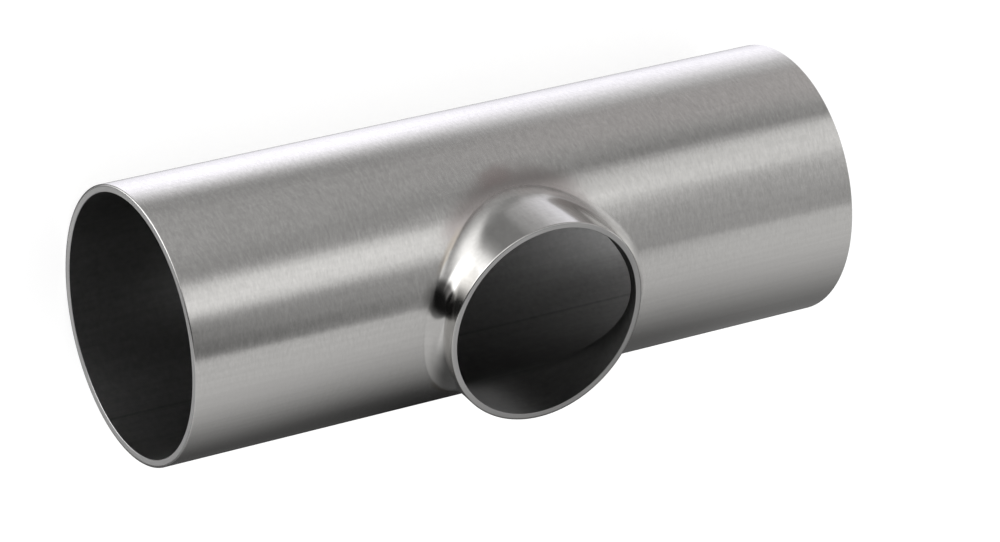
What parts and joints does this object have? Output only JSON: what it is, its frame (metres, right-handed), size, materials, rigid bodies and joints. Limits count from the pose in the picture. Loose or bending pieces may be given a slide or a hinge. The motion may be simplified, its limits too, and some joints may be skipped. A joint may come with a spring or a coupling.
{
  "type": "weld tee",
  "caption": "Reducing weld tee: a thin-walled steel tube with a short, smaller collar drawn out of its side, all ends faced square for butt welding.",
  "frame": {"origin": "where the run's axis meets the branch's axis", "axes": "+X along the run, towards the end that is further off in the picture; +Z along the branch, away from the run; the tee lies on its run with the branch straight up"},
  "size_m": [0.142, 0.053, 0.057],
  "materials": {
    "brushed_stainless": "satin, brushed round the tube; smoother and brighter where the collar was drawn; dull inside"
  },
  "bodies": {
    "root": {"weld_tee": "brushed_stainless"}
  },
  "joints": []
}
